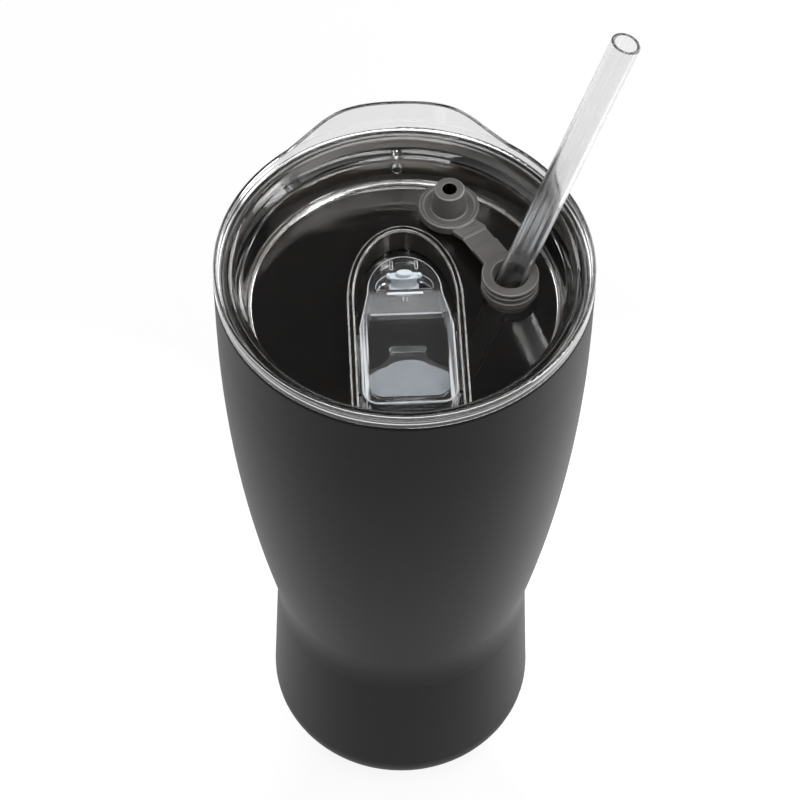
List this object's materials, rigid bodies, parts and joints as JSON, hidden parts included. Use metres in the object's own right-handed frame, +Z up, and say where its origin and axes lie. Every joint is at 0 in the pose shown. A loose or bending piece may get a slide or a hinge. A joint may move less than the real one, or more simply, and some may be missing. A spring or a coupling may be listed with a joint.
{
  "type": "insulated travel mug",
  "caption": "Tall double-wall steel travel mug, hourglass body, clear press-in lid with slide closure, straw port with tethered plug, and a straw.",
  "frame": {"origin": "centre of the foot pad's flat underside, on the surface that the mug stands on", "axes": "+Z up along the cup axis; -Y is the sip side of the lid; +X is the side that the straw port and the straw lean to"},
  "size_m": [0.1079, 0.1002, 0.2813],
  "materials": {
    "powder_coat": "matte black powder coat, fine grain",
    "steel": "satin stainless",
    "foil": "bright foil",
    "seal_glass": "fused sealing bead",
    "foot_rubber": "matte rubber",
    "clear_plastic": "clear glossy copolyester",
    "gasket_silicone": "soft satin silicone",
    "clear_silicone": "translucent satin silicone",
    "grey_silicone": "satin warm-grey silicone",
    "straw_plastic": "clear glossy tube"
  },
  "bodies": {
    "mug": {"outer_shell": "powder_coat", "inner_liner": "steel", "reflective_foil": "foil", "base_disc": "steel", "vacuum_seal": "seal_glass", "getter": "steel", "getter_holder": "steel", "base_cap": "steel", "foot_pad": "foot_rubber"},
    "lid": {"lid_body": "clear_plastic", "lid_gasket": "gasket_silicone", "straw_port": "grey_silicone"},
    "slide": {"slide": "clear_plastic", "sip_seal": "clear_silicone", "vent_seal": "clear_silicone"},
    "plug": {"port_plug": "grey_silicone"},
    "straw": {"straw": "straw_plastic"}
  },
  "joints": [
    {"name": "lid_lift", "type": "slide", "parent": "mug", "child": "lid", "axis": [0, 0, 1], "range_m": [0, 0.2]},
    {"name": "slide_open", "type": "slide", "parent": "lid", "child": "slide", "axis": [0, 1, 0], "range_m": [0, 0.0066]},
    {"name": "plug_flip", "type": "hinge", "parent": "lid", "child": "plug", "pos_m": [0.0209, 0.01695, 0.198], "axis": [0.8649, 0.502, 0], "range_deg": [0, 95]},
    {"name": "straw_pull", "type": "slide", "parent": "lid", "child": "straw", "axis": [0.2939, 0.0711, 0.9532], "range_m": [0, 0.2]}
  ]
}
